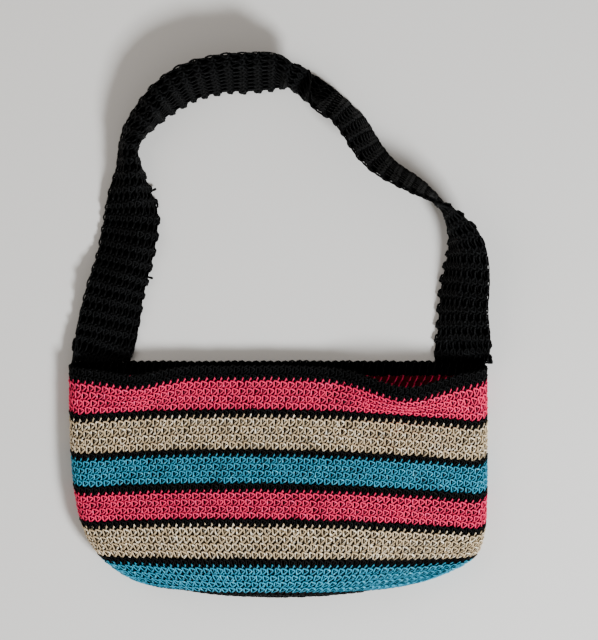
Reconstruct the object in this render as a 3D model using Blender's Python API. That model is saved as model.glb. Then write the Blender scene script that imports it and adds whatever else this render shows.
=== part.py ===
"""A crocheted striped shoulder bag, lying on its back as it rests on a table.

The origin is on the table, under the middle of the bag's flat back wall.
+X is to the wearer's right along the stripes, +Y runs from the base to the strap, +Z is up.
Every stripe is worked in its own yarn, so every stripe is its own closed ring of fabric.
"""

import bpy
import bmesh
import math
import numpy as np

# Yarn and stitches, in metres
BEIGE_ROW = 0.00675
UPPER_PINK_ROW = 0.00615
LOWER_PINK_ROW = 0.00555
UPPER_TURQUOISE_ROW = 0.00555
LOWER_TURQUOISE_ROW = 0.0063
WIDE_RING_ROW = 0.0079
MIDDLE_RING_ROW = 0.0072
NARROW_RING_ROW = 0.0062
RIM_ROW = 0.0060
WALL = 0.0036
SEAM = 0.0003
ROW_RIDGE = 0.0009

# The stripes from the base to the mouth: name, rounds, height of a round, yarn
STRIPES = (
    ("turquoise_lower_band", 4, LOWER_TURQUOISE_ROW, "turquoise_yarn"),
    ("black_ring_1", 1, WIDE_RING_ROW, "black_yarn"),
    ("beige_lower_band", 4, BEIGE_ROW, "beige_yarn"),
    ("black_ring_2", 1, MIDDLE_RING_ROW, "black_yarn"),
    ("pink_lower_band", 4, LOWER_PINK_ROW, "pink_yarn"),
    ("black_ring_3", 1, WIDE_RING_ROW, "black_yarn"),
    ("turquoise_upper_band", 4, UPPER_TURQUOISE_ROW, "turquoise_yarn"),
    ("black_ring_4", 1, NARROW_RING_ROW, "black_yarn"),
    ("beige_upper_band", 4, BEIGE_ROW, "beige_yarn"),
    ("black_ring_5", 1, MIDDLE_RING_ROW, "black_yarn"),
    ("pink_upper_band", 4, UPPER_PINK_ROW, "pink_yarn"),
    ("rim", 2, RIM_ROW, "black_yarn"),
)
ORIGIN_STRIPE = "turquoise_upper_band"

# The bag's body as it lies
BODY_WIDTH = 0.360
BASE_LEFT = 0.118
BASE_RIGHT = 0.126
LEFT_WIDENING = 0.036
RIGHT_WIDENING = 0.018
FOLD_REACH = 0.015
FOLD_SHARE = 0.12
BASE_SIDE_HEIGHT = 0.029
MOUTH_SIDE_HEIGHT = 0.022
BASE_EDGE_HEIGHT = 0.040
BELLY_HEIGHT = 0.047
BELLY_PLACE = 0.030
MOUTH_HEIGHT = 0.021
BACK_EDGE_LIFT = 0.004
BACK_EDGE_LENGTH = 0.015
FRONT_TURN_IN = 0.004
FRONT_TURN_LENGTH = 0.012
BASE_BULGE = 0.0050
BASE_BULGE_REACH = 0.080
BASE_EDGE_BEND = 0.007
BASE_BEND_LENGTH = 0.015
ROW_SAG = 0.008
ROW_TILT = 0.003

# Where the front edge of the mouth gapes: across, reach, lift, pull towards the base
MOUTH_GAPES = (
    (0.110, 0.041, 0.021, 0.0162),
    (-0.124, 0.030, 0.008, 0.0085),
)
GAPE_LENGTH = 0.038
GAPE_RISE = 0.0266

# Soft waves in the front wall: across, up from the base edge, width, length, height
WAVES = (
    (0.012, 0.030, 0.032, 0.016, 0.0035),
    (-0.022, 0.044, 0.016, 0.018, -0.0025),
    (0.118, 0.045, 0.026, 0.020, -0.0025),
    (0.060, 0.075, 0.045, 0.020, 0.0020),
    (-0.090, 0.100, 0.040, 0.030, 0.0015),
)

# The strap, worked flat and joined to the rim at both sides
STRAP_WIDTH = 0.053
STRAP_THICKNESS = 0.0045
STRAP_BEND_SHARE = 0.36
STRAP_SCALLOP = 0.0009
STRAP_ROW = 0.0062

# The strap's route, one station a line: across, up, slope of its outer part, slope of its inner
# part, share of the width where the two meet, clearance under it. Slopes are degrees, seen from
# the outer edge to the inner edge, and below -90 the strap shows its outer face.
STRAP_ROUTE = (
    (-0.1535, 0.0885, -62, -2, 0.16, 0.000),
    (-0.1520, 0.0975, -34, -3, 0.22, 0.000),
    (-0.1493, 0.1050, -12, -6, 0.32, 0.000),
    (-0.1448, 0.1262, 6, -10, 0.45, 0.002),
    (-0.1395, 0.1500, 14, -26, 0.50, 0.004),
    (-0.1332, 0.1722, 20, -34, 0.60, 0.003),
    (-0.1280, 0.1970, 24, -30, 0.70, 0.000),
    (-0.1260, 0.2168, 24, -42, 0.60, 0.000),
    (-0.1272, 0.2340, 40, -62, 0.52, 0.000),
    (-0.1284, 0.2525, 62, -84, 0.50, 0.000),
    (-0.1290, 0.2700, 76, -94, 0.50, 0.000),
    (-0.1240, 0.2860, 64, -90, 0.40, 0.000),
    (-0.1105, 0.3022, 48, -80, 0.30, 0.000),
    (-0.0965, 0.3150, 38, -70, 0.24, 0.000),
    (-0.0754, 0.3281, 28, -65, 0.20, 0.000),
    (-0.0463, 0.3350, 16, -62, 0.16, 0.000),
    (-0.0231, 0.3358, 10, -60, 0.14, 0.000),
    (-0.0026, 0.3363, -4, -64, 0.14, 0.000),
    (0.0120, 0.3330, -20, -96, 0.36, 0.000),
    (0.0208, 0.3284, -32, -144, 0.50, 0.000),
    (0.0282, 0.3236, -62, -152, 0.50, 0.000),
    (0.0352, 0.3180, -94, -142, 0.50, 0.000),
    (0.0425, 0.3110, -114, -120, 0.50, 0.000),
    (0.0531, 0.3033, -124, -104, 0.50, 0.000),
    (0.0651, 0.2896, -126, -108, 0.50, 0.000),
    (0.0790, 0.2680, -122, -108, 0.50, 0.000),
    (0.0920, 0.2550, -116, -106, 0.50, 0.000),
    (0.1095, 0.2440, -110, -104, 0.50, 0.000),
    (0.1215, 0.2370, -106, -102, 0.50, 0.000),
    (0.1335, 0.2290, -94, -102, 0.50, 0.000),
    (0.1442, 0.2192, -76, -100, 0.50, 0.000),
    (0.1520, 0.2090, -54, -92, 0.45, 0.000),
    (0.1580, 0.1985, -30, -82, 0.38, 0.000),
    (0.1612, 0.1845, -10, -70, 0.36, 0.000),
    (0.1612, 0.1695, -2, -60, 0.38, 0.000),
    (0.1598, 0.1530, 2, -54, 0.42, 0.000),
    (0.1583, 0.1325, 2, -52, 0.42, 0.000),
    (0.1585, 0.1120, -10, -40, 0.40, 0.000),
    (0.1590, 0.0985, -44, -14, 0.28, 0.000),
    (0.1595, 0.0885, -68, -2, 0.20, 0.000),
)

# How finely the fabric is faceted
FRONT_STEPS = 15
FOLD_STEPS = 3
BASE_RINGS = 4
STRAP_STEPS = 8
STRAP_ROWS_A_STATION = 2

YARN_COLOURS = {
    "black_yarn": (0.008, 0.009, 0.010),
    "pink_yarn": (0.62, 0.035, 0.115),
    "beige_yarn": (0.46, 0.36, 0.24),
    "turquoise_yarn": (0.035, 0.25, 0.36),
}
YARN_ROUGHNESS = 0.9


def body_length():
    """Length of the fabric from the base's edge to the rim's top."""
    return sum(rounds * height for _, rounds, height, _ in STRIPES)


def stripe_spans():
    """For each stripe its name, first and last place along the fabric, rounds and yarn."""
    spans = []
    start = 0.0
    for name, rounds, height, yarn in STRIPES:
        end = start + rounds * height
        spans.append((name, start, end, rounds, yarn))
        start = end
    return spans


def origin_place():
    """Place along the fabric that lies over the origin: the middle of the origin stripe."""
    for name, start, end, _, _ in stripe_spans():
        if name == ORIGIN_STRIPE:
            return (start + end) / 2
    raise ValueError("the origin stripe is missing")


def ease(t):
    """Smooth step from 0 to 1."""
    t = np.clip(t, 0.0, 1.0)
    return t * t * (3 - 2 * t)


def half_width(place, side):
    """Width of the lying bag to the left (side below 0) or right of its middle."""
    at_base = np.where(side < 0, BASE_LEFT, BASE_RIGHT)
    widening = np.where(side < 0, LEFT_WIDENING, RIGHT_WIDENING)
    return BODY_WIDTH / 2 - (BODY_WIDTH / 2 - at_base) * np.exp(-place / widening)


def front_height(place):
    """Height of the front wall over the table at the middle of the bag."""
    before = BELLY_HEIGHT - (BELLY_HEIGHT - BASE_EDGE_HEIGHT) * (1 - place / BELLY_PLACE) ** 2
    turn = (place - BELLY_PLACE) / (body_length() - BELLY_PLACE)
    after = MOUTH_HEIGHT + (BELLY_HEIGHT - MOUTH_HEIGHT) * np.cos(np.clip(turn, 0, 1) * math.pi / 2) ** 2
    return np.where(place < BELLY_PLACE, before, after)


def side_height(place):
    """Height of the front wall where it meets the side folds."""
    return BASE_SIDE_HEIGHT + (MOUTH_SIDE_HEIGHT - BASE_SIDE_HEIGHT) * place / body_length()


def back_height(place):
    """Height of the back wall's outside: flat on the table but for its edge at the base."""
    return BACK_EDGE_LIFT * np.clip(1 - place / BACK_EDGE_LENGTH, 0, 1) ** 2


def gape(across, place):
    """Lift of the mouth's front edge, and its pull towards the base."""
    climb = ((place - (body_length() - GAPE_LENGTH)) / GAPE_RISE).clip(0, 1)
    near_mouth = (climb + ease(climb)) / 2
    lift = 0.0
    pull = 0.0
    for centre, reach, rise, draw in MOUTH_GAPES:
        bell = np.exp(-(((across - centre) / reach) ** 2)) * near_mouth
        lift = lift + rise * bell
        pull = pull + draw * bell
    return lift, pull


def waves(across, place):
    """Soft waves of the front wall."""
    height = 0.0
    for centre, along, width, length, rise in WAVES:
        height = height + rise * np.exp(-(((across - centre) / width) ** 2) - ((place - along) / length) ** 2)
    return height


def row_offset(across, place):
    """How far a row lies from a straight line across the front: sag, tilt and the bend at the base."""
    share = across / (BODY_WIDTH / 2)
    near_base = ease((place - 0.010) / 0.060)
    near_mouth = 1 - 0.75 * ease((place - (body_length() - GAPE_LENGTH)) / GAPE_LENGTH)
    sag = -(ROW_SAG * share**2 + ROW_TILT * share) * near_base * near_mouth
    bend = (base_line(across) + origin_place()) * np.exp(-place / BASE_BEND_LENGTH)
    return sag, bend


def base_line(across):
    """The base's edge as seen from above: a shallow curve whose ends lie nearer to the mouth."""
    return BASE_EDGE_BEND * (across / BASE_LEFT) ** 4 - origin_place()


def body_point(turn, place):
    """A point of the bag's outer surface.

    turn runs once around the bag from 0 to 4: the left fold's upper half with the front wall and
    the right fold's upper half from 0 to 2, and the same below, back to the left, from 2 to 4.
    place is the length of fabric up from the base's edge.
    """
    turn, place = np.broadcast_arrays(np.asarray(turn, float), np.asarray(place, float))
    upper = turn < 2
    # position along the half ring: 0 at its first fold, 1 at its last
    half = np.where(upper, turn, 4 - turn) / 2
    flat = np.clip((half - FOLD_SHARE) / (1 - 2 * FOLD_SHARE), 0, 1)
    bend = np.clip(np.minimum(half, 1 - half) / FOLD_SHARE, 0, 1)
    angle = bend * math.pi / 2
    side = np.where(half < 0.5, -1.0, 1.0)
    width = half_width(place, side)
    inner = width - FOLD_REACH
    on_fold = (half < FOLD_SHARE) | (half > 1 - FOLD_SHARE)
    across = np.where(on_fold, side * (inner + FOLD_REACH * np.cos(angle)), inner * (2 * flat - 1))
    back = back_height(place)
    shoulder = side_height(place)
    middle = (back + shoulder) / 2
    crown = (1 - np.abs(across / inner).clip(0, 1) ** 2.6) ** 1.6
    lift, pull = gape(across, place)
    over = shoulder + (front_height(place) - shoulder) * crown
    wave = waves(across, place) * (1 - np.abs(across / width) ** 4)
    fold_share = np.where(on_fold, np.sin(angle), 1.0)
    top = middle + (over - middle) * fold_share + (lift + wave) * fold_share
    bottom = middle - (middle - back) * fold_share
    up = np.where(upper, top, bottom)
    front_share = np.where(upper, 0.5 + 0.5 * fold_share, 0.5 - 0.5 * fold_share)
    sag, edge_bend = row_offset(across, place)
    turn_in = FRONT_TURN_IN * (1 - np.exp(-place / FRONT_TURN_LENGTH))
    along_front = place - turn_in + sag - pull
    along = front_share * along_front + (1 - front_share) * place + edge_bend - origin_place()
    return np.stack([across, along, up], axis=-1)


def body_normal(turn, place):
    """Outward unit normal of the smooth outer surface."""
    small = 1e-4
    by_turn = body_point(np.mod(turn + small, 4), place) - body_point(np.mod(turn - small, 4), place)
    by_place = body_point(turn, place + small / 10) - body_point(turn, place - small / 10)
    normal = np.cross(by_turn, by_place)
    return normal / np.linalg.norm(normal, axis=-1, keepdims=True)


def ring_turns():
    """The values of turn where the rings have their points, closer together on the folds."""
    fold_turn = 2 * FOLD_SHARE
    fold = np.linspace(0, fold_turn, FOLD_STEPS + 1)[:-1]
    wall = np.linspace(fold_turn, 2 - fold_turn, FRONT_STEPS + 1)
    half = np.concatenate([fold, wall, 2 - fold[::-1]])[:-1]
    return np.concatenate([half, 2 + half])


def new_material(name):
    """Yarn as a plain rough material in its colour."""
    material = bpy.data.materials.new(name)
    material.use_nodes = True
    shader = material.node_tree.nodes["Principled BSDF"]
    shader.inputs["Base Color"].default_value = (*YARN_COLOURS[name], 1)
    shader.inputs["Roughness"].default_value = YARN_ROUGHNESS
    material.diffuse_color = (*YARN_COLOURS[name], 1)
    return material


def add_solid(name, rings, material, collection, ends):
    """Lofts rings of points into one closed body.

    ends is "joined" where the last ring leads back to the first, "capped" for a flat cap at each
    end, and "pinched" where each end ring has closed to a line.
    """
    mesh = bpy.data.meshes.new(name)
    body = bmesh.new()
    rows = [[body.verts.new(point) for point in ring] for ring in rings]
    count = len(rows)
    for i in range(count if ends == "joined" else count - 1):
        near, far = rows[i], rows[(i + 1) % count]
        for j in range(len(near)):
            k = (j + 1) % len(near)
            body.faces.new((near[j], near[k], far[k], far[j]))
    if ends == "capped":
        body.faces.new(rows[0][::-1])
        body.faces.new(rows[-1])
    bmesh.ops.remove_doubles(body, verts=body.verts, dist=1e-6)
    bmesh.ops.triangulate(body, faces=body.faces)
    bmesh.ops.recalc_face_normals(body, faces=body.faces)
    if body.calc_volume(signed=True) < 0:
        bmesh.ops.reverse_faces(body, faces=body.faces)
    body.to_mesh(mesh)
    body.free()
    mesh.materials.append(material)
    mesh.shade_smooth()
    mesh.set_sharp_from_angle(angle=math.radians(50))
    item = bpy.data.objects.new(name, mesh)
    collection.objects.link(item)
    return item


def add_stripe(span, material, collection):
    """One stripe: a closed ring of fabric with a ridge for every round."""
    name, start, end, rounds, _ = span
    turns = ring_turns()
    low = start + SEAM / 2
    high = end - SEAM / 2
    steps = 2 * round(rounds)
    outer = []
    for step in range(steps + 1):
        place = low + (high - low) * step / steps
        ring = body_point(turns, place)
        groove = ROW_RIDGE if step % 2 == 0 else 0.0
        outer.append(ring - body_normal(turns, place) * groove * above_table(turns)[:, None])
    inner = []
    for place in (high, (low + high) / 2, low + WALL, low) if rounds > 2 else (high, low):
        inner.append(body_point(turns, place) - body_normal(turns, place) * WALL)
    return add_solid(name, outer + inner, material, collection, ends="joined")


def above_table(turns):
    """1 on the front wall and 0 where the fabric is pressed flat on the table."""
    return np.where(turns <= 2, 1.0, ease(1 - np.minimum(turns - 2, 4 - turns) / (2 * FOLD_SHARE)))


def add_base(material, collection):
    """The oval base: rounds worked about a starting chain, set into the body's end."""
    turns = ring_turns()
    end = (BASE_EDGE_HEIGHT - BACK_EDGE_LIFT) / 2
    edge = body_point(turns, SEAM / 2) - body_normal(turns, SEAM / 2) * (WALL + SEAM)
    centre = edge.copy()
    centre[:, 0] = np.clip(body_point(turns, 0.0)[:, 0], end - BASE_LEFT, BASE_RIGHT - end)
    centre[:, 2] = (BACK_EDGE_LIFT + BASE_EDGE_HEIGHT) / 2
    outer = []
    inner = []
    for ring in range(BASE_RINGS + 1):
        share = 1 - ring / BASE_RINGS
        points = centre + (edge - centre) * share
        bulge = BASE_BULGE * (1 - share**2) * (1 - (points[:, 0] / BASE_BULGE_REACH) ** 2).clip(0)
        away = (edge[:, 1] - base_line(edge[:, 0])) * share**2
        points[:, 1] = base_line(points[:, 0]) + away - bulge
        outer.append(points)
        inner.append(points + (0, WALL, 0))
    return add_solid("base_oval", outer[::-1] + inner, material, collection, ends="pinched")


def strap_stations(count):
    """Places, headings and section shapes at even steps along the strap's route."""
    route = np.array(STRAP_ROUTE)
    reach = np.concatenate([[0], np.cumsum(np.hypot(*np.diff(route[:, :2], axis=0).T))])
    slope = np.zeros_like(route)
    slope[1:-1] = (route[2:] - route[:-2]) / (reach[2:] - reach[:-2])[:, None]
    slope[0, 1] = 1.0
    slope[-1, 1] = -1.0
    where = np.linspace(0, reach[-1], count)
    low = np.clip(np.searchsorted(reach, where, side="right") - 1, 0, len(reach) - 2)
    gap = (reach[low + 1] - reach[low])[:, None]
    t = (where - reach[low])[:, None] / gap
    values = (2 * t**3 - 3 * t**2 + 1) * route[low] + (t**3 - 2 * t**2 + t) * gap * slope[low]
    values = values + (3 * t**2 - 2 * t**3) * route[low + 1] + (t**3 - t**2) * gap * slope[low + 1]
    heading = np.gradient(values[:, :2], axis=0)
    heading[0] = (0, 1)
    heading[-1] = (0, -1)
    heading = heading / np.linalg.norm(heading, axis=1, keepdims=True)
    return values, heading, reach[-1]


def strap_section(station, widths):
    """Middle line and normals of the strap's section, in its own upright plane."""
    _, _, outer_slope, inner_slope, share, clearance = station
    turn = ease((widths / STRAP_WIDTH - (share - STRAP_BEND_SHARE / 2)) / STRAP_BEND_SHARE)
    angle = np.radians(outer_slope + (inner_slope - outer_slope) * turn)
    step = np.diff(widths)
    inward = np.concatenate([[0], np.cumsum((np.cos(angle[1:]) + np.cos(angle[:-1])) / 2 * step)])
    up = np.concatenate([[0], np.cumsum((np.sin(angle[1:]) + np.sin(angle[:-1])) / 2 * step)])
    normal = np.stack([-np.sin(angle), np.cos(angle)], axis=-1)
    line = np.stack([inward, up], axis=-1)
    skin = np.concatenate([line + normal * STRAP_THICKNESS / 2, line - normal * STRAP_THICKNESS / 2])
    shift = np.array([(skin[:, 0].min() + skin[:, 0].max()) / 2, skin[:, 1].min() - clearance])
    return line - shift, normal


def add_strap(material, collection):
    """The strap: a thick ribbon that lies, stands on its edge and turns over along its route."""
    length = strap_stations(2)[2]
    rows = round(length / STRAP_ROW)
    count = 2 * round(rows / STRAP_ROWS_A_STATION) + 1
    stations, headings, _ = strap_stations(count)
    widths = np.linspace(0, STRAP_WIDTH, STRAP_STEPS + 1)
    rings = []
    for i in range(count):
        line, normal = strap_section(stations[i], widths)
        waist = STRAP_SCALLOP if i % 2 == 0 else 0.0
        line[0] += (line[1] - line[0]) / np.linalg.norm(line[1] - line[0]) * waist
        line[-1] += (line[-2] - line[-1]) / np.linalg.norm(line[-2] - line[-1]) * waist
        thick = np.full(len(widths), STRAP_THICKNESS / 2 - waist / 2)
        thick[[0, -1]] *= 0.6
        section = np.concatenate([line + normal * thick[:, None], (line - normal * thick[:, None])[::-1]])
        section[:, 1] = np.maximum(section[:, 1], 0.0)
        inward = np.array([headings[i][1], -headings[i][0]])
        ring = np.empty((len(section), 3))
        ring[:, :2] = stations[i][:2] + section[:, :1] * inward
        ring[:, 2] = section[:, 1]
        rings.append(ring)
    return add_solid("strap", rings, material, collection, ends="capped")


def main():
    for item in list(bpy.data.objects):
        bpy.data.objects.remove(item)
    collection = bpy.data.collections.new("crochet_shoulder_bag")
    bpy.context.scene.collection.children.link(collection)
    materials = {name: new_material(name) for name in YARN_COLOURS}
    add_base(materials["black_yarn"], collection)
    for span in stripe_spans():
        add_stripe(span, materials[span[4]], collection)
    add_strap(materials["black_yarn"], collection)


main()
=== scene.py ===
"""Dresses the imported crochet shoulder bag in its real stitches.

Every round is one yarn that runs through all its stitches, bent over the fabric's surface. The
surface repeats part.py's sizes, in metres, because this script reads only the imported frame. The
mouth's left gape is pulled 1.5 mm less here, so that the rim hides the back wall behind it.
"""

import math

import bpy
import numpy as np
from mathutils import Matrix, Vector


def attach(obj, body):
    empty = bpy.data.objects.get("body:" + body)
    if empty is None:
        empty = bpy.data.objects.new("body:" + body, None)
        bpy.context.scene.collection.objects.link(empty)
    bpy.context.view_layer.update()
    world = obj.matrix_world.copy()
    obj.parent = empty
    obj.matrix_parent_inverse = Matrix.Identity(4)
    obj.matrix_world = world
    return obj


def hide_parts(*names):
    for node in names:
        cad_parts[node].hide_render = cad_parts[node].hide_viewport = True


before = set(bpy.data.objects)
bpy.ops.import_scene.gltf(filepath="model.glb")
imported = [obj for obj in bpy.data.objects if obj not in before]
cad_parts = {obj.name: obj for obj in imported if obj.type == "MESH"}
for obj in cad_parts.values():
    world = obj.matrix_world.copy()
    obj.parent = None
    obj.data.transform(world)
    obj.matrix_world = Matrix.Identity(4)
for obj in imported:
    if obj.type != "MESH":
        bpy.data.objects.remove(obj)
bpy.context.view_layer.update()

# Yarn and stitches, in metres
BEIGE_ROW = 0.00675
UPPER_PINK_ROW = 0.00615
LOWER_PINK_ROW = 0.00555
UPPER_TURQUOISE_ROW = 0.00555
LOWER_TURQUOISE_ROW = 0.0063
WIDE_RING_ROW = 0.0079
MIDDLE_RING_ROW = 0.0072
NARROW_RING_ROW = 0.0062
RIM_ROW = 0.0060
WALL = 0.0036
SEAM = 0.0003
STITCH_WIDTH = 0.0061
ROUND_STITCHES = 122
ROW_LEAN = 0.22
YARN_RADIUS = 0.00076
YARN_SIDES = 5

# The stripes from the base to the mouth: name, rounds, height of a round, yarn
STRIPES = (
    ("turquoise_lower_band", 4, LOWER_TURQUOISE_ROW, "turquoise_yarn"),
    ("black_ring_1", 1, WIDE_RING_ROW, "black_yarn"),
    ("beige_lower_band", 4, BEIGE_ROW, "beige_yarn"),
    ("black_ring_2", 1, MIDDLE_RING_ROW, "black_yarn"),
    ("pink_lower_band", 4, LOWER_PINK_ROW, "pink_yarn"),
    ("black_ring_3", 1, WIDE_RING_ROW, "black_yarn"),
    ("turquoise_upper_band", 4, UPPER_TURQUOISE_ROW, "turquoise_yarn"),
    ("black_ring_4", 1, NARROW_RING_ROW, "black_yarn"),
    ("beige_upper_band", 4, BEIGE_ROW, "beige_yarn"),
    ("black_ring_5", 1, MIDDLE_RING_ROW, "black_yarn"),
    ("pink_upper_band", 4, UPPER_PINK_ROW, "pink_yarn"),
    ("rim", 2, RIM_ROW, "black_yarn"),
)
ORIGIN_STRIPE = "turquoise_upper_band"

# One stitch as its yarn runs through it. Along the round and up it in stitches, and out from the
# middle of the fabric in millimetres. A loop comes through from behind at the foot, goes up, over
# and down again, and a second loop rises through it to the top edge, where the next round hooks in.
STITCH_PATH = (
    (0.04, -0.02, -1.2),
    (-0.03, 0.12, 1.0),
    (-0.07, 0.42, 1.5),
    (-0.07, 0.76, 1.5),
    (0.05, 0.95, 1.5),
    (0.34, 0.86, 1.8),
    (0.66, 0.70, 1.6),
    (0.72, 0.56, 1.0),
    (0.44, 0.30, 1.2),
    (0.13, 0.03, 1.1),
    (0.12, -0.06, -1.1),
    (0.30, 0.48, 0.6),
    (0.44, 0.94, 0.7),
    (0.60, 1.20, 1.3),
    (0.74, 1.12, 0.3),
    (1.12, 1.03, -0.3),
    (0.84, 0.96, -1.1),
    (0.92, 0.45, -1.4),
)
# The point at the top of the loop, and how much further it reaches up and out at a coloured
# stripe's last round and at the rim's edge
LOOP_TOP = 13
STRIPE_TOP_REACH = (0.04, 0.22, 0.6)
RIM_TOP_REACH = (0.0, -0.16, -0.1)
NO_REACH = (0.0, 0.0, 0.0)
# Standard deviation of a stitch from its even place, in the units of its path
STITCH_SWAY = (0.050, 0.042, 0.14)

# The bag's body as it lies
BODY_WIDTH = 0.360
BASE_LEFT = 0.118
BASE_RIGHT = 0.126
LEFT_WIDENING = 0.036
RIGHT_WIDENING = 0.018
FOLD_REACH = 0.015
FOLD_SHARE = 0.12
BASE_SIDE_HEIGHT = 0.029
MOUTH_SIDE_HEIGHT = 0.022
BASE_EDGE_HEIGHT = 0.040
BELLY_HEIGHT = 0.047
BELLY_PLACE = 0.030
MOUTH_HEIGHT = 0.021
BACK_EDGE_LIFT = 0.004
BACK_EDGE_LENGTH = 0.015
FRONT_TURN_IN = 0.004
FRONT_TURN_LENGTH = 0.012
BASE_BULGE = 0.0050
BASE_BULGE_REACH = 0.080
BASE_EDGE_BEND = 0.007
BASE_BEND_LENGTH = 0.015
ROW_SAG = 0.008
ROW_TILT = 0.003
SAG_START = 0.010
SAG_REACH = 0.060
MOUTH_TAUTNESS = 0.75
CROWN_SHAPE = (2.6, 1.6)

# The base: its rounds, how far up a round its length is taken, and the part that has a core
BASE_ROUNDS = 3
BASE_ROUND_PLACE = 0.6
BASE_CORE_SHARES = (0.03, 0.97)

# Where the front edge of the mouth gapes: across, reach, lift, pull towards the base
MOUTH_GAPES = (
    (0.110, 0.041, 0.021, 0.0162),
    (-0.124, 0.030, 0.008, 0.0070),
)
GAPE_LENGTH = 0.038
GAPE_RISE = 0.0266

# Soft waves in the front wall: across, up from the base edge, width, length, height
WAVES = (
    (0.012, 0.030, 0.032, 0.016, 0.0035),
    (-0.022, 0.044, 0.016, 0.018, -0.0025),
    (0.118, 0.045, 0.026, 0.020, -0.0025),
    (0.060, 0.075, 0.045, 0.020, 0.0020),
    (-0.090, 0.100, 0.040, 0.030, 0.0015),
)

# The strap, worked flat and joined to the rim at both sides
STRAP_WIDTH = 0.053
STRAP_THICKNESS = 0.0045
STRAP_BEND_SHARE = 0.36
STRAP_STITCHES = 9
STRAP_STITCH_WIDTH = 0.0057
STRAP_YARN_RADIUS = 0.00098
STRAP_ROW = 0.0062
# Free edge beside the first stitch, share by which one row swells and the next draws in, and how
# much of what reaches beyond the first and last stitch is drawn in
STRAP_MARGIN = 0.0008
STRAP_SCALLOP = 0.018
EDGE_TIGHTNESS = 0.75

# The strap's route, one station a line: across, up, slope of its outer part, slope of its inner
# part, share of the width where the two meet, clearance under it. Slopes are degrees, seen from
# the outer edge to the inner edge, and below -90 the strap shows its outer face.
STRAP_ROUTE = (
    (-0.1535, 0.0885, -62, -2, 0.16, 0.000),
    (-0.1520, 0.0975, -34, -3, 0.22, 0.000),
    (-0.1493, 0.1050, -12, -6, 0.32, 0.000),
    (-0.1448, 0.1262, 6, -10, 0.45, 0.002),
    (-0.1395, 0.1500, 14, -26, 0.50, 0.004),
    (-0.1332, 0.1722, 20, -34, 0.60, 0.003),
    (-0.1280, 0.1970, 24, -30, 0.70, 0.000),
    (-0.1260, 0.2168, 24, -42, 0.60, 0.000),
    (-0.1272, 0.2340, 40, -62, 0.52, 0.000),
    (-0.1284, 0.2525, 62, -84, 0.50, 0.000),
    (-0.1290, 0.2700, 76, -94, 0.50, 0.000),
    (-0.1240, 0.2860, 64, -90, 0.40, 0.000),
    (-0.1105, 0.3022, 48, -80, 0.30, 0.000),
    (-0.0965, 0.3150, 38, -70, 0.24, 0.000),
    (-0.0754, 0.3281, 28, -65, 0.20, 0.000),
    (-0.0463, 0.3350, 16, -62, 0.16, 0.000),
    (-0.0231, 0.3358, 10, -60, 0.14, 0.000),
    (-0.0026, 0.3363, -4, -64, 0.14, 0.000),
    (0.0120, 0.3330, -20, -96, 0.36, 0.000),
    (0.0208, 0.3284, -32, -144, 0.50, 0.000),
    (0.0282, 0.3236, -62, -152, 0.50, 0.000),
    (0.0352, 0.3180, -94, -142, 0.50, 0.000),
    (0.0425, 0.3110, -114, -120, 0.50, 0.000),
    (0.0531, 0.3033, -124, -104, 0.50, 0.000),
    (0.0651, 0.2896, -126, -108, 0.50, 0.000),
    (0.0790, 0.2680, -122, -108, 0.50, 0.000),
    (0.0920, 0.2550, -116, -106, 0.50, 0.000),
    (0.1095, 0.2440, -110, -104, 0.50, 0.000),
    (0.1215, 0.2370, -106, -102, 0.50, 0.000),
    (0.1335, 0.2290, -94, -102, 0.50, 0.000),
    (0.1442, 0.2192, -76, -100, 0.50, 0.000),
    (0.1520, 0.2090, -54, -92, 0.45, 0.000),
    (0.1580, 0.1985, -30, -82, 0.38, 0.000),
    (0.1612, 0.1845, -10, -70, 0.36, 0.000),
    (0.1612, 0.1695, -2, -60, 0.38, 0.000),
    (0.1598, 0.1530, 2, -54, 0.42, 0.000),
    (0.1583, 0.1325, 2, -52, 0.42, 0.000),
    (0.1585, 0.1120, -10, -40, 0.40, 0.000),
    (0.1590, 0.0985, -44, -14, 0.28, 0.000),
    (0.1595, 0.0885, -68, -2, 0.20, 0.000),
)

# Two short yarn ends on the strap's inner edge: along the strap, and the way the end points. They
# grow out at one share of the strap's width, and their thickness is in yarn radii.
YARN_ENDS = (
    (0.083, (0.90, -0.25, 0.30)),
    (0.150, (0.85, 0.40, 0.30)),
)
YARN_END_ACROSS = 0.95
YARN_END_LENGTH = 0.006
YARN_END_DROOP = 0.001
# The ends' relief, by which their colour is painted lit like a raised strand
YARN_END_RELIEF = 0.0016
YARN_END_THICKNESS = (1.3, 1.4, 1.3, 1.5, 1.7, 1.3)

# Colours of each yarn: the painted shade colour in the grooves of its twist, which the core is also
# painted from, its usual colour, and the lightest fibres. Then the share of fleck in it and how much it
# shines.
YARNS = {
    "black_yarn": ((0.0006, 0.0007, 0.0008), (0.0018, 0.0019, 0.0020), (0.010, 0.011, 0.012), 0.25, 0.07),
    "pink_yarn": ((0.26, 0.001, 0.014), (0.90, 0.018, 0.125), (1.0, 0.14, 0.34), 0.15, 0.20),
    "beige_yarn": ((0.17, 0.105, 0.045), (0.57, 0.45, 0.28), (1.0, 0.93, 0.78), 0.60, 0.28),
    "turquoise_yarn": ((0.002, 0.05, 0.085), (0.018, 0.29, 0.44), (0.22, 0.78, 0.95), 0.15, 0.26),
}
# Painted shade and painted highlight by the yarn's relief in millimetres: from, to, share at each. The
# strands low in the fabric are painted in shade, the raised ones lighter than their own colour.
RELIEF_SHADE = (0.8, 2.2, 0.03, 1.65)
# The core is painted in shade: the yarn's painted shade colour times this share
CORE_SHADE = 0.2
# The yarn's plies and the length of a whole turn of them, in millimetres
YARN_PLIES = 4
TWIST_LENGTH = 6.0
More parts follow.
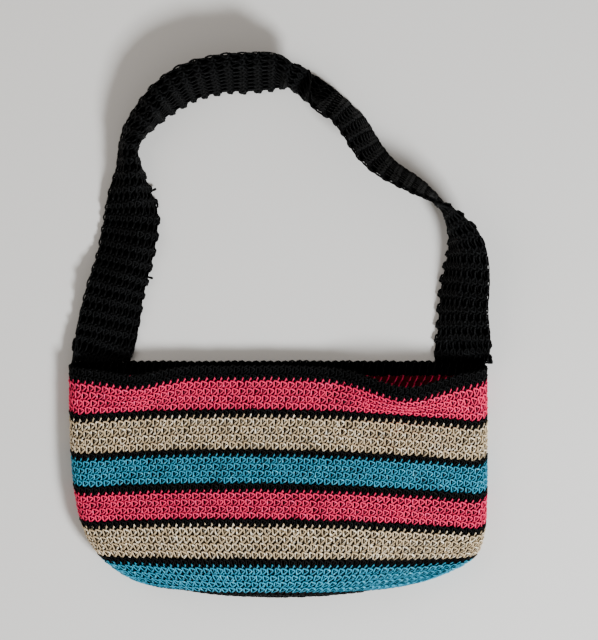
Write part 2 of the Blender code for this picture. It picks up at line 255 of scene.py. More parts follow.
# Scale and detail of the noise behind the fibres and the flecks. A fleck fades in between its start
# and its end in the noise, each lowered by its second number times the yarn's share of fleck, and
# covers the first share plus the second times that share.
FIBRE_NOISE = (1800, 3)
FLECK_NOISE = (420, 2)
FLECK_START = (0.62, 0.16)
FLECK_END = (0.74, 0.10)
FLECK_SHARE = (0.35, 0.5)
FIBRE_HEIGHT = 0.6
BUMP_STRENGTH = 0.7
BUMP_DISTANCE = 0.00025
YARN_ROUGHNESS = 0.55

# The photograph's frame, in pixels, and the real size of a pixel
PHOTO_SIZE = (598, 640)
PIXEL = 0.000857
ORIGIN_PIXEL = (278.0, 464.9)
CAMERA_DISTANCE = 3.2
CAMERA_LEVEL = 0.022
CAMERA_REACH = 20
SENSOR = 36.0

# The table and the light. A lamp's line is its name, place, size, power and colour.
TABLE_SIZE = 8
TABLE_COLOUR = (0.72, 0.71, 0.69, 1)
TABLE_ROUGHNESS = 0.8
SKY_COLOUR = (1.0, 0.93, 0.86, 1)
SKY_STRENGTH = 0.42
LAMPS = (
    ("key", (1.15, -1.15, 1.5), 0.5, 95, (0.95, 0.98, 1.0)),
    ("fill", (-1.4, 0.6, 1.6), 1.4, 10, (1.0, 0.95, 0.9)),
)
LIGHT_AIM = (0.0, 0.08, 0.0)

# The grids of fabric, and the thin core that lies in them behind the stitches
GRID_TURNS = 720
GRID_STEP = 0.0015
BASE_GRID_ROWS = 26
STRAP_GRID_COLUMNS = 49
CORE_OUT = 0.0001
CORE_IN = -0.0004
CORE_STEP = 0.003
CORE_COLUMNS = 150
CORE_STRAP_COLUMNS = 17
CORE_MARGIN = 0.0014
CORE_MAP = 3
TABLE_GAP = 0.0002

# The colour map has a cell for each stitch, with an edge left free. The strap has spare cells for
# its core and its yarn ends.
CELL_EDGE = 0.04
CELL_FILL = 0.92
STRAP_SPARE_CELLS = 4

random = np.random.default_rng(7)


def body_length():
    """Length of the fabric from the base's edge to the rim's top."""
    return sum(rounds * height for _, rounds, height, _ in STRIPES)


def origin_place():
    """Place along the fabric that lies over the origin: the middle of the origin stripe."""
    start = 0.0
    for name, rounds, height, _ in STRIPES:
        if name == ORIGIN_STRIPE:
            return start + rounds * height / 2
        start += rounds * height
    raise ValueError("the origin stripe is missing")


def ease(t):
    """Smooth step from 0 to 1."""
    t = np.clip(t, 0.0, 1.0)
    return t * t * (3 - 2 * t)


def unit(vectors):
    """The same directions with a length of 1."""
    return vectors / np.linalg.norm(vectors, axis=-1, keepdims=True)


def half_width(place, side):
    """Width of the lying bag to the left (side below 0) or right of its middle."""
    at_base = np.where(side < 0, BASE_LEFT, BASE_RIGHT)
    widening = np.where(side < 0, LEFT_WIDENING, RIGHT_WIDENING)
    return BODY_WIDTH / 2 - (BODY_WIDTH / 2 - at_base) * np.exp(-place / widening)


def front_height(place):
    """Height of the front wall over the table at the middle of the bag."""
    before = BELLY_HEIGHT - (BELLY_HEIGHT - BASE_EDGE_HEIGHT) * (1 - place / BELLY_PLACE) ** 2
    turn = (place - BELLY_PLACE) / (body_length() - BELLY_PLACE)
    after = MOUTH_HEIGHT + (BELLY_HEIGHT - MOUTH_HEIGHT) * np.cos(np.clip(turn, 0, 1) * math.pi / 2) ** 2
    return np.where(place < BELLY_PLACE, before, after)


def side_height(place):
    """Height of the front wall where it meets the side folds."""
    return BASE_SIDE_HEIGHT + (MOUTH_SIDE_HEIGHT - BASE_SIDE_HEIGHT) * place / body_length()


def back_height(place):
    """Height of the back wall's outside: flat on the table but for its edge at the base."""
    return BACK_EDGE_LIFT * np.clip(1 - place / BACK_EDGE_LENGTH, 0, 1) ** 2


def gape(across, place):
    """Lift of the mouth's front edge, and its pull towards the base."""
    climb = ((place - (body_length() - GAPE_LENGTH)) / GAPE_RISE).clip(0, 1)
    near_mouth = (climb + ease(climb)) / 2
    lift = 0.0
    pull = 0.0
    for centre, reach, rise, draw in MOUTH_GAPES:
        bell = np.exp(-(((across - centre) / reach) ** 2)) * near_mouth
        lift = lift + rise * bell
        pull = pull + draw * bell
    return lift, pull


def waves(across, place):
    """Soft waves of the front wall."""
    height = 0.0
    for centre, along, width, length, rise in WAVES:
        distance = ((across - centre) / width) ** 2 + ((place - along) / length) ** 2
        height = height + rise * np.exp(-distance)
    return height


def base_line(across):
    """The base's edge as seen from above: a shallow curve whose ends lie nearer to the mouth."""
    return BASE_EDGE_BEND * (across / BASE_LEFT) ** 4 - origin_place()


def row_offset(across, place):
    """How far a row lies from a straight line across the front: sag and tilt, and the base's bend."""
    share = across / (BODY_WIDTH / 2)
    from_base = ease((place - SAG_START) / SAG_REACH)
    to_mouth = 1 - MOUTH_TAUTNESS * ease((place - (body_length() - GAPE_LENGTH)) / GAPE_LENGTH)
    sag = -(ROW_SAG * share**2 + ROW_TILT * share) * from_base * to_mouth
    bend = (base_line(across) + origin_place()) * np.exp(-place / BASE_BEND_LENGTH)
    return sag, bend


def body_point(turn, place):
    """A point of the bag's outer surface.

    turn runs once around the bag from 0 to 4: the left fold's upper half with the front wall and
    the right fold's upper half from 0 to 2, and the same below, back to the left, from 2 to 4.
    place is the length of fabric up from the base's edge.
    """
    turn, place = np.broadcast_arrays(np.asarray(turn, float), np.asarray(place, float))
    upper = turn < 2
    # position along the half ring: 0 at its first fold, 1 at its last
    half = np.where(upper, turn, 4 - turn) / 2
    flat = np.clip((half - FOLD_SHARE) / (1 - 2 * FOLD_SHARE), 0, 1)
    bend = np.clip(np.minimum(half, 1 - half) / FOLD_SHARE, 0, 1)
    angle = bend * math.pi / 2
    side = np.where(half < 0.5, -1.0, 1.0)
    width = half_width(place, side)
    inner = width - FOLD_REACH
    on_fold = (half < FOLD_SHARE) | (half > 1 - FOLD_SHARE)
    across = np.where(on_fold, side * (inner + FOLD_REACH * np.cos(angle)), inner * (2 * flat - 1))
    back = back_height(place)
    shoulder = side_height(place)
    middle = (back + shoulder) / 2
    crown = (1 - np.abs(across / inner).clip(0, 1) ** CROWN_SHAPE[0]) ** CROWN_SHAPE[1]
    lift, pull = gape(across, place)
    over = shoulder + (front_height(place) - shoulder) * crown
    wave = waves(across, place) * (1 - np.abs(across / width) ** 4)
    fold_share = np.where(on_fold, np.sin(angle), 1.0)
    top = middle + (over - middle) * fold_share + (lift + wave) * fold_share
    bottom = middle - (middle - back) * fold_share
    up = np.where(upper, top, bottom)
    front_share = np.where(upper, 0.5 + 0.5 * fold_share, 0.5 - 0.5 * fold_share)
    sag, edge_bend = row_offset(across, place)
    turn_in = FRONT_TURN_IN * (1 - np.exp(-place / FRONT_TURN_LENGTH))
    along_front = place - turn_in + sag - pull
    along = front_share * along_front + (1 - front_share) * place + edge_bend - origin_place()
    return np.stack([across, along, up], axis=-1)


def body_normal(turn, place):
    """Outward unit normal of the smooth outer surface."""
    small = 1e-4
    by_turn = body_point(np.mod(turn + small, 4), place) - body_point(np.mod(turn - small, 4), place)
    by_place = body_point(turn, place + small / 10) - body_point(turn, place - small / 10)
    return unit(np.cross(by_turn, by_place))


def even_turns(place):
    """The values of turn that cut the ring at a place into equal lengths."""
    fine = np.linspace(0, 4, 2001)
    steps = np.linalg.norm(np.diff(body_point(np.mod(fine, 4), place), axis=0), axis=1)
    reach = np.concatenate([[0], np.cumsum(steps)])
    return np.interp(np.linspace(0, reach[-1], GRID_TURNS + 1), reach, fine), reach[-1]


def body_sheet():
    """The middle of the body's fabric as a grid: one row of points and normals every GRID_STEP."""
    places = np.arange(-2, math.ceil(body_length() / GRID_STEP) + 4) * GRID_STEP
    points, normals = [], []
    for place in places:
        turns, _ = even_turns(place)
        normal = body_normal(turns, place)
        points.append(body_point(np.mod(turns, 4), place) - normal * WALL / 2)
        normals.append(normal)
    return np.array(points), np.array(normals), places[0]


def base_sheet():
    """The middle of the base's fabric as a grid, from its middle line to its edge."""
    turns, _ = even_turns(0.0)
    outline = body_point(np.mod(turns, 4), 0.0)
    edge = outline - body_normal(turns, 0.0) * WALL
    end = (BASE_EDGE_HEIGHT - BACK_EDGE_LIFT) / 2
    centre = edge.copy()
    centre[:, 0] = np.clip(outline[:, 0], end - BASE_LEFT, BASE_RIGHT - end)
    centre[:, 2] = (BACK_EDGE_LIFT + BASE_EDGE_HEIGHT) / 2
    points, normals = [], []
    for share in np.linspace(0.0, 1.0, BASE_GRID_ROWS):
        point = centre + (edge - centre) * share
        bulge = BASE_BULGE * (1 - share**2) * (1 - (point[:, 0] / BASE_BULGE_REACH) ** 2).clip(0)
        away = (edge[:, 1] - base_line(edge[:, 0])) * share**2
        point[:, 1] = base_line(point[:, 0]) + away - bulge + WALL / 2
        points.append(point)
        normals.append(np.broadcast_to((0.0, -1.0, 0.0), point.shape))
    return np.array(points), np.array(normals)


def strap_stations(count):
    """Places, headings and section shapes at even steps along the strap's route."""
    route = np.array(STRAP_ROUTE)
    reach = np.concatenate([[0], np.cumsum(np.hypot(*np.diff(route[:, :2], axis=0).T))])
    slope = np.zeros_like(route)
    slope[1:-1] = (route[2:] - route[:-2]) / (reach[2:] - reach[:-2])[:, None]
    slope[0, 1] = 1.0
    slope[-1, 1] = -1.0
    where = np.linspace(0, reach[-1], count)
    low = np.clip(np.searchsorted(reach, where, side="right") - 1, 0, len(reach) - 2)
    gap = (reach[low + 1] - reach[low])[:, None]
    t = (where - reach[low])[:, None] / gap
    values = (2 * t**3 - 3 * t**2 + 1) * route[low] + (t**3 - 2 * t**2 + t) * gap * slope[low]
    values = values + (3 * t**2 - 2 * t**3) * route[low + 1] + (t**3 - t**2) * gap * slope[low + 1]
    heading = np.gradient(values[:, :2], axis=0)
    heading[0] = (0, 1)
    heading[-1] = (0, -1)
    return values, unit(heading), reach[-1]


def strap_section(station, widths):
    """Middle line and normals of the strap's section, in its own upright plane."""
    _, _, outer_slope, inner_slope, share, clearance = station
    turn = ease((widths / STRAP_WIDTH - (share - STRAP_BEND_SHARE / 2)) / STRAP_BEND_SHARE)
    angle = np.radians(outer_slope + (inner_slope - outer_slope) * turn)
    step = np.diff(widths)
    inward = np.concatenate([[0], np.cumsum((np.cos(angle[1:]) + np.cos(angle[:-1])) / 2 * step)])
    up = np.concatenate([[0], np.cumsum((np.sin(angle[1:]) + np.sin(angle[:-1])) / 2 * step)])
    normal = np.stack([-np.sin(angle), np.cos(angle)], axis=-1)
    line = np.stack([inward, up], axis=-1)
    skin = np.concatenate([line + normal * STRAP_THICKNESS / 2, line - normal * STRAP_THICKNESS / 2])
    shift = np.array([(skin[:, 0].min() + skin[:, 0].max()) / 2, skin[:, 1].min() - clearance])
    return line - shift, normal


def strap_sheet():
    """The middle of the strap's fabric as a grid, a step longer than its route at both ends."""
    length = strap_stations(2)[2]
    stations, headings, _ = strap_stations(round(length / GRID_STEP) + 1)
    widths = np.linspace(0, STRAP_WIDTH, STRAP_GRID_COLUMNS)
    points, normals = [], []
    for station, heading in zip(stations, headings):
        line, normal = strap_section(station, widths)
        inward = np.array([heading[1], -heading[0]])
        points.append(np.column_stack([station[:2] + line[:, :1] * inward, line[:, 1]]))
        normals.append(np.column_stack([normal[:, :1] * inward, normal[:, 1]]))
    points = [2 * points[0] - points[1], *points, 2 * points[-1] - points[-2]]
    normals = [normals[0], *normals, normals[-1]]
    return np.array(points), np.array(normals), length + 2 * GRID_STEP


def lay_on(points, normals, row, column, out):
    """Puts something on a grid of fabric: row and column are in grid steps, out is off its middle."""
    row = np.clip(row, 0, len(points) - 1.001)
    column = np.clip(column, 0, points.shape[1] - 1.001)
    i, j = row.astype(int), column.astype(int)
    s, t = (row - i)[..., None], (column - j)[..., None]

    def between(grid):
        near = grid[i, j] * (1 - t) + grid[i, j + 1] * t
        far = grid[i + 1, j] * (1 - t) + grid[i + 1, j + 1] * t
        return near * (1 - s) + far * s

    laid = between(points) + unit(between(normals)) * out[..., None]
    laid[..., 2] = np.maximum(laid[..., 2], TABLE_GAP)
    return laid


def stitch_tube(width, reach, radius=YARN_RADIUS):
    """The rings of one stitch's yarn: across and up in stitches, out in metres, and lengths."""
    path = np.array(STITCH_PATH)
    path[LOOP_TOP] += reach
    path = path * (width, width, 0.001)
    period = np.array([width, 0, 0])
    ahead = np.vstack([path[1:], path[:1] + period])
    behind = np.vstack([path[-1:] - period, path[:-1]])
    heading = unit(unit(ahead - path) + unit(path - behind))
    side = np.empty_like(path)
    side[0] = unit(np.cross(heading[0], (0.3, 0.5, 0.8)))
    for i in range(1, len(path)):
        side[i] = unit(side[i - 1] - heading[i] * np.dot(side[i - 1], heading[i]))
    # the frame turns a little in each stitch; the turn is spread so that the next one starts alike
    end = unit(side[-1] - heading[0] * np.dot(side[-1], heading[0]))
    turn = math.atan2(np.dot(np.cross(side[0], end), heading[0]), np.dot(side[0], end))
    sector = 2 * math.pi / YARN_SIDES
    turn = (turn + sector / 2) % sector - sector / 2
    rings = []
    for i in range(len(path)):
        other = np.cross(heading[i], side[i])
        angles = np.arange(YARN_SIDES) * sector - turn * i / len(path)
        ring = side[i] * np.cos(angles)[:, None] + other * np.sin(angles)[:, None]
        rings.append(path[i] + ring * radius)
    length = np.concatenate([[0], np.cumsum(np.linalg.norm(ahead - path, axis=1))])
    return np.array(rings) / (width, width, 1), length


def main_round(count, tube, closed):
    """Rings of a whole round of stitches, with a little irregularity from stitch to stitch."""
    sway = random.normal(0, 1, (count + 1, 3)) * (STITCH_SWAY[0], STITCH_SWAY[1], STITCH_SWAY[2] / 1000)
    if closed:
        sway[-1] = sway[0]
    share = ease(np.arange(len(tube)) / len(tube))[None, :, None, None]
    rings = tube[None] + sway[:-1, None, None] * (1 - share) + sway[1:, None, None] * share
    rings[..., 0] += np.arange(count)[:, None, None]
    return rings.reshape(count * len(tube), tube.shape[1], 3)


class Weaving:
    """Collects the faces of one piece, with a map along the yarn and a map for its colours."""

    def __init__(self, stitches):
        self.cells = math.ceil(math.sqrt(stitches + 1))
        self.next_cell = 0
        self.points = []
        self.reliefs = []
        self.faces = []
        self.yarn_map = []
        self.colour_map = []
        self.caps = []
        self.cap_yarn_map = []
        self.cap_colour_map = []
        self.count = 0

    def add_faces(self, points, relief, faces, yarn_map, colour_map):
        """Faces of four points, numbered from the first of these points, with their maps."""
        self.points.append(points)
        self.reliefs.append(relief)
        self.faces.append(faces + self.count)
        self.yarn_map.append(yarn_map)
        self.colour_map.append(colour_map)
        self.count += len(points)

    def add_yarn(self, rings, out, lengths, closed):
        """A tube through rings that stand out of the fabric by out.

        lengths are those of one stitch, from its first ring to the next one's.
        """
        total, sides = rings.shape[:2]
        a_stitch = len(lengths) - 1
        last = total if closed else total - 1
        stitch, ring = np.divmod(np.arange(last)[:, None], a_stitch)
        start = (stitch * lengths[-1] + lengths[ring]) * 1000
        end = (stitch * lengths[-1] + lengths[ring + 1]) * 1000
        low = np.arange(sides) / sides
        high = np.arange(1, sides + 1) / sides
        yarn = corners(start, end, low, high)
        cell = self.next_cell + stitch
        left = cell % self.cells + CELL_EDGE + CELL_FILL * ring / a_stitch
        right = cell % self.cells + CELL_EDGE + CELL_FILL * (ring + 1) / a_stitch
        up = cell // self.cells + CELL_EDGE
        colour = corners(left, right, up + CELL_FILL * low, up + CELL_FILL * high) / self.cells
        first = self.count
        # each point's relief in millimetres, from which its colour is painted in shade or lit
        relief = np.abs(out).ravel() * 1000
        self.add_faces(rings.reshape(-1, 3), relief, tube_faces(total, last, sides), yarn, colour)
        if not closed:
            last_cell = int(cell[-1, 0])
            self.add_cap(rings[0], first, (0.0, 0.5), self.next_cell, turned=False)
            self.add_cap(rings[-1], first + last * sides, (end[-1, 0], 0.5), last_cell, turned=True)
        self.next_cell += int(stitch[-1, 0]) + 1

    def add_cap(self, ring, first, spot, cell, turned):
        """Closes an end with a fan of triangles; first is the number of the ring's first point."""
        sides = len(ring)
        j = np.arange(sides)
        fan = np.stack([first + j, first + (j + 1) % sides, np.full(sides, self.count)], axis=-1)
        self.points.append(ring.mean(axis=0, keepdims=True))
        # the cap's middle point has a relief of 1 mm, for the painted shade of its colour
        self.reliefs.append(np.ones(1))
        self.count += 1
        self.caps.append(fan if turned else fan[:, ::-1])
        self.cap_yarn_map.append(np.tile(spot, (3 * sides, 1)))
        # the cap's colours lie in the narrow strip beside the stitch's own, at its cell's edge
        corner = np.array([cell % self.cells, cell // self.cells])
        left = 0.97 if turned else 0.01
        up = 0.05 + 0.9 * np.stack([j, j, j + 0.8], axis=-1) / sides
        across = np.broadcast_to((left, left + 0.02, left), up.shape)
        colour = (corner + np.stack([across, up], axis=-1)) / self.cells
        self.cap_colour_map.append(colour.reshape(-1, 2))

    def add_end(self, root, heading):
        """A short loose end of yarn that grows out of the fabric and droops a little."""
        side = unit(np.cross(heading, (0, 0, 1)))
        other = np.cross(heading, side)
        angles = np.arange(YARN_SIDES) * 2 * math.pi / YARN_SIDES
        ring = side * np.cos(angles)[:, None] + other * np.sin(angles)[:, None]
        share = np.linspace(0, 1, len(YARN_END_THICKNESS))
        droop = np.array([0, 0, YARN_END_DROOP]) * share[:, None] ** 2
        spine = root + heading * YARN_END_LENGTH * share[:, None] - droop
        rings = spine[:, None] + ring * YARN_RADIUS * np.array(YARN_END_THICKNESS)[:, None, None]
        out = np.full(rings.shape[:2], YARN_END_RELIEF)
        self.add_yarn(rings, out, share * YARN_END_LENGTH, closed=False)

    def add_core(self, rows, joined):
        """A closed shell through rings of points: the last is joined to the first, or both are capped.

        It stands for the strands inside the fabric; its colour is the painted shade they lie in. Its map
        lies above the yarn's own, by CORE_MAP.
        """
        total, around = rows.shape[:2]
        count = total if joined else total - 1
        i = np.arange(count)[:, None]
        j = np.arange(around)
        spot = corners(j / around, (j + 1) / around, i / count, (i + 1) / count, swap=True)
        corner = np.array([self.next_cell % self.cells, self.next_cell // self.cells])
        colour = (corner + CELL_EDGE + CELL_FILL * spot) / self.cells
        yarn = spot + (0, CORE_MAP)
        first = self.count
        relief = np.zeros(total * around)
        self.add_faces(rows.reshape(-1, 3), relief, tube_faces(total, count, around), yarn, colour)
        if not joined:
            self.add_cap(rows[0], first, (0.0, CORE_MAP), self.next_cell, turned=False)
            self.add_cap(rows[-1], first + count * around, (1.0, CORE_MAP), self.next_cell, turned=True)
        self.next_cell += 1

    def finish(self, node, yarn):
        """Makes the piece, dresses it in its yarn and puts it in its CAD node's place."""
        name = node + "_stitches"
        points = np.vstack(self.points)
        faces = np.vstack(self.faces)
        mesh = bpy.data.meshes.new(name)
        mesh.vertices.add(len(points))
        mesh.vertices.foreach_set("co", points.astype(np.float32).ravel())
        caps = np.vstack(self.caps) if self.caps else np.zeros((0, 3), int)
        mesh.loops.add(faces.size + caps.size)
        numbers = np.concatenate([faces.ravel(), caps.ravel()])
        mesh.loops.foreach_set("vertex_index", numbers.astype(np.int32))
        mesh.polygons.add(len(faces) + len(caps))
        starts = np.concatenate([np.arange(len(faces)) * 4, faces.size + np.arange(len(caps)) * 3])
        mesh.polygons.foreach_set("loop_start", starts.astype(np.int32))
        mesh.update(calc_edges=True)
        yarn_map = np.vstack(self.yarn_map + self.cap_yarn_map)
        colour_map = np.vstack(self.colour_map + self.cap_colour_map)
        for title, spots in (("yarn", yarn_map), ("OFBake", colour_map)):
            layer = mesh.uv_layers.new(name=title)
            layer.uv.foreach_set("vector", spots.astype(np.float32).ravel())
        # the relief drives the yarn's painted shade and painted highlight
        relief = mesh.attributes.new("relief", "FLOAT", "POINT")
        relief.data.foreach_set("value", np.concatenate(self.reliefs).astype(np.float32))
        mesh.validate()
        mesh.shade_smooth()
        mesh.materials.append(materials[yarn])
        piece = bpy.data.objects.new(name, mesh)
        bpy.context.scene.collection.objects.link(piece)
        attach(piece, "root")
        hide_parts(node)


def tube_faces(total, last, sides):
    """The four points of each face of a tube of rings, whose last ring may be joined to the first."""
    i = np.arange(last)[:, None]
    j = np.arange(sides)
    far = (i + 1) % total
    side = (j + 1) % sides
    faces = [i * sides + j, i * sides + side, far * sides + side, far * sides + j]
    return np.stack(faces, axis=-1).reshape(-1, 4)


def corners(start, end, low, high, swap=False):
    """The map of each face's four corners, in the order of the faces' points."""
    start, end, low, high = np.broadcast_arrays(start, end, low, high)
    if swap:
        spots = [(start, low), (end, low), (end, high), (start, high)]
    else:
        spots = [(start, low), (start, high), (end, high), (end, low)]
    return np.stack([np.stack(spot, axis=-1) for spot in spots], axis=-2).reshape(-1, 2)


def yarn_material(name):
    """Plied yarn: twisted plies, fine fibres over them, and flecks of lighter fibre."""
    # Besides its own colours, the yarn's colour holds painted shade in the grooves between its plies,
    # painted shade and highlight by its relief, and painted shade on the core
    painted_shade_colour, usual, light, fleck, shine = YARNS[name]
    material = bpy.data.materials.new(name)
    material.use_nodes = True
    tree = material.node_tree
    nodes, links = tree.nodes, tree.links
    shader = nodes["Principled BSDF"]

    def node(kind, **settings):
        made = nodes.new(kind)
        for key, value in settings.items():
            setattr(made, key, value)
        return made

    def math_node(operation, *values):
        made = node("ShaderNodeMath", operation=operation)
        for socket, value in zip(made.inputs, values):
            if isinstance(value, (int, float)):
                socket.default_value = value
            else:
                links.new(value, socket)
        return made.outputs[0]

    place = node("ShaderNodeTexCoord")

    def noise(scale, detail):
        made = node("ShaderNodeTexNoise")
        made.inputs["Scale"].default_value = scale
        made.inputs["Detail"].default_value = detail
        links.new(place.outputs["Object"], made.inputs["Vector"])
        return made.outputs["Fac"]

    along_yarn = node("ShaderNodeUVMap", uv_map="yarn")
    parts = node("ShaderNodeSeparateXYZ")
    links.new(along_yarn.outputs["UV"], parts.inputs[0])
    core = math_node("GREATER_THAN", parts.outputs["Y"], CORE_MAP - 1)
    phase = math_node("ADD", math_node("DIVIDE", parts.outputs["X"], TWIST_LENGTH), parts.outputs["Y"])
    wave = math_node("SINE", math_node("MULTIPLY", phase, 2 * math.pi * YARN_PLIES))
    ply = math_node("MULTIPLY_ADD", wave, 0.5, 0.5)

    # Painted shade in the grooves between the plies: the colour turns to the painted shade colour there
    shade = node("ShaderNodeMix", data_type="RGBA")
    shade.inputs["A"].default_value = (*painted_shade_colour, 1)
    shade.inputs["B"].default_value = (*usual, 1)
    links.new(ply, shade.inputs["Factor"])
    flecked = node("ShaderNodeMapRange")
    flecked.inputs["From Min"].default_value = FLECK_START[0] - FLECK_START[1] * fleck
    flecked.inputs["From Max"].default_value = FLECK_END[0] - FLECK_END[1] * fleck
    links.new(noise(*FLECK_NOISE), flecked.inputs["Value"])
    cover = FLECK_SHARE[0] + FLECK_SHARE[1] * fleck
    fleck_share = math_node("MULTIPLY", flecked.outputs["Result"], cover)
    lit = node("ShaderNodeMix", data_type="RGBA")
    lit.inputs["B"].default_value = (*light, 1)
    links.new(shade.outputs["Result"], lit.inputs["A"])
    links.new(fleck_share, lit.inputs["Factor"])
    # Painted shade and painted highlight: the colour is darkened where the strands lie low and lightened
    # where they stand out
    relief = node("ShaderNodeAttribute", attribute_name="relief")
    raised = node("ShaderNodeMapRange", interpolation_type="SMOOTHSTEP")
    for socket, value in zip(("From Min", "From Max", "To Min", "To Max"), RELIEF_SHADE):
        raised.inputs[socket].default_value = value
    links.new(relief.outputs["Fac"], raised.inputs["Value"])
    shaded = node("ShaderNodeVectorMath", operation="SCALE")
    links.new(lit.outputs["Result"], shaded.inputs[0])
    links.new(raised.outputs["Result"], shaded.inputs["Scale"])
    # The core is painted in shade: its faces take the core's painted shade colour
    painted_core_shade = node("ShaderNodeMix", data_type="RGBA")
    painted_core_shade.inputs["B"].default_value = (*(CORE_SHADE * part for part in painted_shade_colour), 1)
    links.new(core, painted_core_shade.inputs["Factor"])
    links.new(shaded.outputs["Vector"], painted_core_shade.inputs["A"])
    links.new(painted_core_shade.outputs["Result"], shader.inputs["Base Color"])

    fibres = math_node("MULTIPLY", noise(*FIBRE_NOISE), FIBRE_HEIGHT)
    bump = node("ShaderNodeBump")
    bump.inputs["Strength"].default_value = BUMP_STRENGTH
    bump.inputs["Distance"].default_value = BUMP_DISTANCE
    links.new(math_node("ADD", ply, fibres), bump.inputs["Height"])
    links.new(bump.outputs["Normal"], shader.inputs["Normal"])
    shader.inputs["Roughness"].default_value = YARN_ROUGHNESS
    gloss = math_node("MULTIPLY", math_node("SUBTRACT", 1.0, core), shine)
    links.new(gloss, shader.inputs["Specular IOR Level"])
    return material


def make_stripes():
    """Every stripe's rounds, from the base's edge to the rim."""
    points, normals, first = body_sheet()
    start = 0.0
    number = 0
    for name, rounds, height, yarn in STRIPES:
        piece = Weaving(rounds * ROUND_STITCHES)
        for turn in range(rounds):
            reach = top_reach(name, yarn) if turn == rounds - 1 else NO_REACH
            tube, lengths = stitch_tube(STITCH_WIDTH, reach)
            around = even_turns(start + height / 2)[1]
            count = min(ROUND_STITCHES, round(around / STITCH_WIDTH))
            rings = main_round(count, tube, closed=True)
            column = ((rings[..., 0] - number * ROW_LEAN) / count) % 1.0 * GRID_TURNS
            row = (start + rings[..., 1] * height - first) / GRID_STEP
            laid = lay_on(points, normals, row, column, rings[..., 2])
            piece.add_yarn(laid, rings[..., 2], lengths, closed=True)
            start += height
            number += 1
        edges = (np.array([start - rounds * height + SEAM, start - SEAM]) - first) / GRID_STEP
        piece.add_core(core_rings(points, normals, *edges), joined=True)
        piece.finish(name, yarn)


def top_reach(name, yarn):
    """How much further the loops of a stripe's last round reach."""
    if name == "rim":
        return RIM_TOP_REACH
    return NO_REACH if yarn == "black_yarn" else STRIPE_TOP_REACH


def core_rings(points, normals, low, high):
    """The thin core of a ring of fabric between two of its grid's rows."""
    count = max(2, round((high - low) * GRID_STEP / CORE_STEP) + 1)
    rows = np.linspace(low, high, count)
    column = np.linspace(0, GRID_TURNS, CORE_COLUMNS, endpoint=False)
    even = np.ones(len(column))
    front = [lay_on(points, normals, row * even, column, CORE_OUT * even) for row in rows]
    behind = [lay_on(points, normals, row * even, column, CORE_IN * even) for row in rows[::-1]]
    return np.array(front + behind)


def make_base():
    """The oval base: rounds of stitches from its middle line to the first stripe."""
    points, normals = base_sheet()
    tube, lengths = stitch_tube(STITCH_WIDTH, NO_REACH)
    reach = (BASE_EDGE_HEIGHT - BACK_EDGE_LIFT) / 2
    chain = BASE_LEFT + BASE_RIGHT - 2 * reach
    steps = len(points) - 1
    piece = Weaving(BASE_ROUNDS * ROUND_STITCHES)
    for number in range(BASE_ROUNDS):
        around = 2 * chain + 2 * math.pi * reach * (number + BASE_ROUND_PLACE) / BASE_ROUNDS
        count = round(around / STITCH_WIDTH)
        rings = main_round(count, tube, closed=True)
        column = ((rings[..., 0] - number * ROW_LEAN) / count) % 1.0 * GRID_TURNS
        row = (number + rings[..., 1]).clip(0, None) / BASE_ROUNDS * steps
        laid = lay_on(points, normals, row, column, rings[..., 2])
        piece.add_yarn(laid, rings[..., 2], lengths, closed=True)
    low, high = BASE_CORE_SHARES
    piece.add_core(core_rings(points, normals, low * steps, high * steps), joined=True)
    piece.finish("base_oval", "black_yarn")


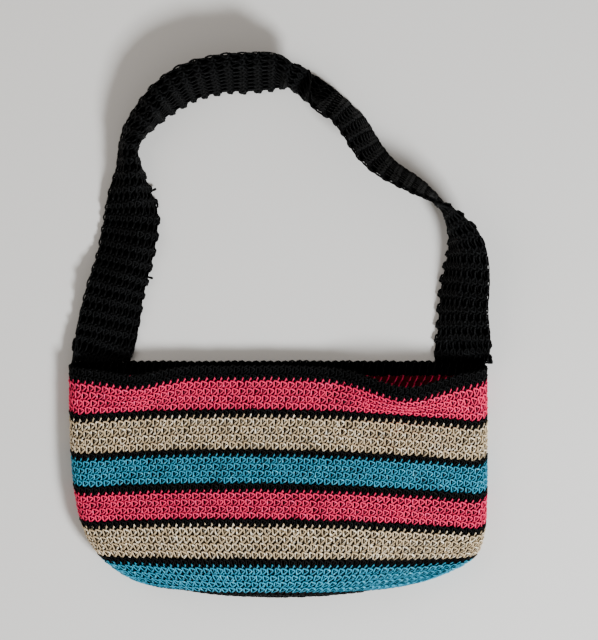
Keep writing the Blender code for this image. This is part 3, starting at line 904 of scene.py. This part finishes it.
def make_strap():
    """The strap's rows, worked there and back across its width, with its two yarn ends."""
    points, normals, length = strap_sheet()
    tube, lengths = stitch_tube(STRAP_STITCH_WIDTH, NO_REACH, STRAP_YARN_RADIUS)
    rows = round(length / STRAP_ROW)
    height = length / rows
    piece = Weaving(rows * (STRAP_STITCHES + 1) + STRAP_SPARE_CELLS)
    to_column = (points.shape[1] - 1) / STRAP_WIDTH
    for number in range(rows):
        rings = main_round(STRAP_STITCHES + 1, tube, closed=False)[: -len(tube) // 2]
        spine = rings[..., 0].mean(axis=1, keepdims=True)
        beyond = np.maximum(spine - STRAP_STITCHES, 0) + np.minimum(spine, 0)
        across = STRAP_MARGIN + (rings[..., 0] - EDGE_TIGHTNESS * beyond) * STRAP_STITCH_WIDTH
        swell = 1 + STRAP_SCALLOP * np.cos(math.pi * (number + rings[..., 1] - 0.5))
        across = STRAP_WIDTH / 2 + (across - STRAP_WIDTH / 2) * swell
        out = rings[..., 2]
        if number % 2:
            across = STRAP_WIDTH - across
            out = -out
        row = ((number + rings[..., 1]) * height) / GRID_STEP
        laid = lay_on(points, normals, row, across * to_column, out)
        piece.add_yarn(laid, out, lengths, closed=False)
    widths = np.linspace(CORE_MARGIN, STRAP_WIDTH - CORE_MARGIN, CORE_STRAP_COLUMNS) * to_column
    column = np.concatenate([widths, widths[::-1]])
    out = np.concatenate([np.full(len(widths), CORE_OUT), np.full(len(widths), CORE_IN)])
    shell = []
    for row in np.linspace(1, len(points) - 2, round(length / CORE_STEP)):
        shell.append(lay_on(points, normals, np.full(len(column), row), column, out))
    piece.add_core(np.array(shell), joined=False)
    for place, heading in YARN_ENDS:
        row = np.array([place / GRID_STEP])
        column = np.array([STRAP_WIDTH * YARN_END_ACROSS * to_column])
        root = lay_on(points, normals, row, column, np.zeros(1))[0]
        piece.add_end(root, unit(np.array(heading)))
    piece.finish("strap", "black_yarn")


def make_stage():
    """A pale table, the photograph's view from above and its soft light from the lower right."""
    bpy.ops.mesh.primitive_plane_add(size=TABLE_SIZE, location=(0, 0, 0))
    table = bpy.context.object
    table.name = "table_top"
    paint = bpy.data.materials.new("pale_table")
    paint.use_nodes = True
    shader = paint.node_tree.nodes["Principled BSDF"]
    shader.inputs["Base Color"].default_value = TABLE_COLOUR
    shader.inputs["Roughness"].default_value = TABLE_ROUGHNESS
    table.data.materials.append(paint)

    wide, tall = PHOTO_SIZE
    across = (wide / 2 - ORIGIN_PIXEL[0]) * PIXEL
    up = (ORIGIN_PIXEL[1] - tall / 2) * PIXEL
    data = bpy.data.cameras.new("camera")
    data.sensor_width = SENSOR
    data.lens = SENSOR * CAMERA_DISTANCE / (tall * PIXEL)
    data.clip_end = CAMERA_REACH
    camera = bpy.data.objects.new("camera", data)
    camera.location = (across, up, CAMERA_LEVEL + CAMERA_DISTANCE)
    bpy.context.scene.collection.objects.link(camera)
    bpy.context.scene.camera = camera

    world = bpy.data.worlds.new("studio")
    world.use_nodes = True
    sky = world.node_tree.nodes["Background"]
    sky.inputs["Color"].default_value = SKY_COLOUR
    sky.inputs["Strength"].default_value = SKY_STRENGTH
    bpy.context.scene.world = world
    for lamp in LAMPS:
        add_light(*lamp)


def add_light(name, place, size, power, colour):
    """A square soft light that looks at the bag."""
    data = bpy.data.lights.new(name, "AREA")
    data.size = size
    data.energy = power
    data.color = colour
    light = bpy.data.objects.new(name, data)
    light.location = place
    light.rotation_euler = (Vector(LIGHT_AIM) - light.location).to_track_quat("-Z", "Y").to_euler()
    bpy.context.scene.collection.objects.link(light)


materials = {name: yarn_material(name) for name in YARNS}
make_stripes()
make_base()
make_strap()
make_stage()
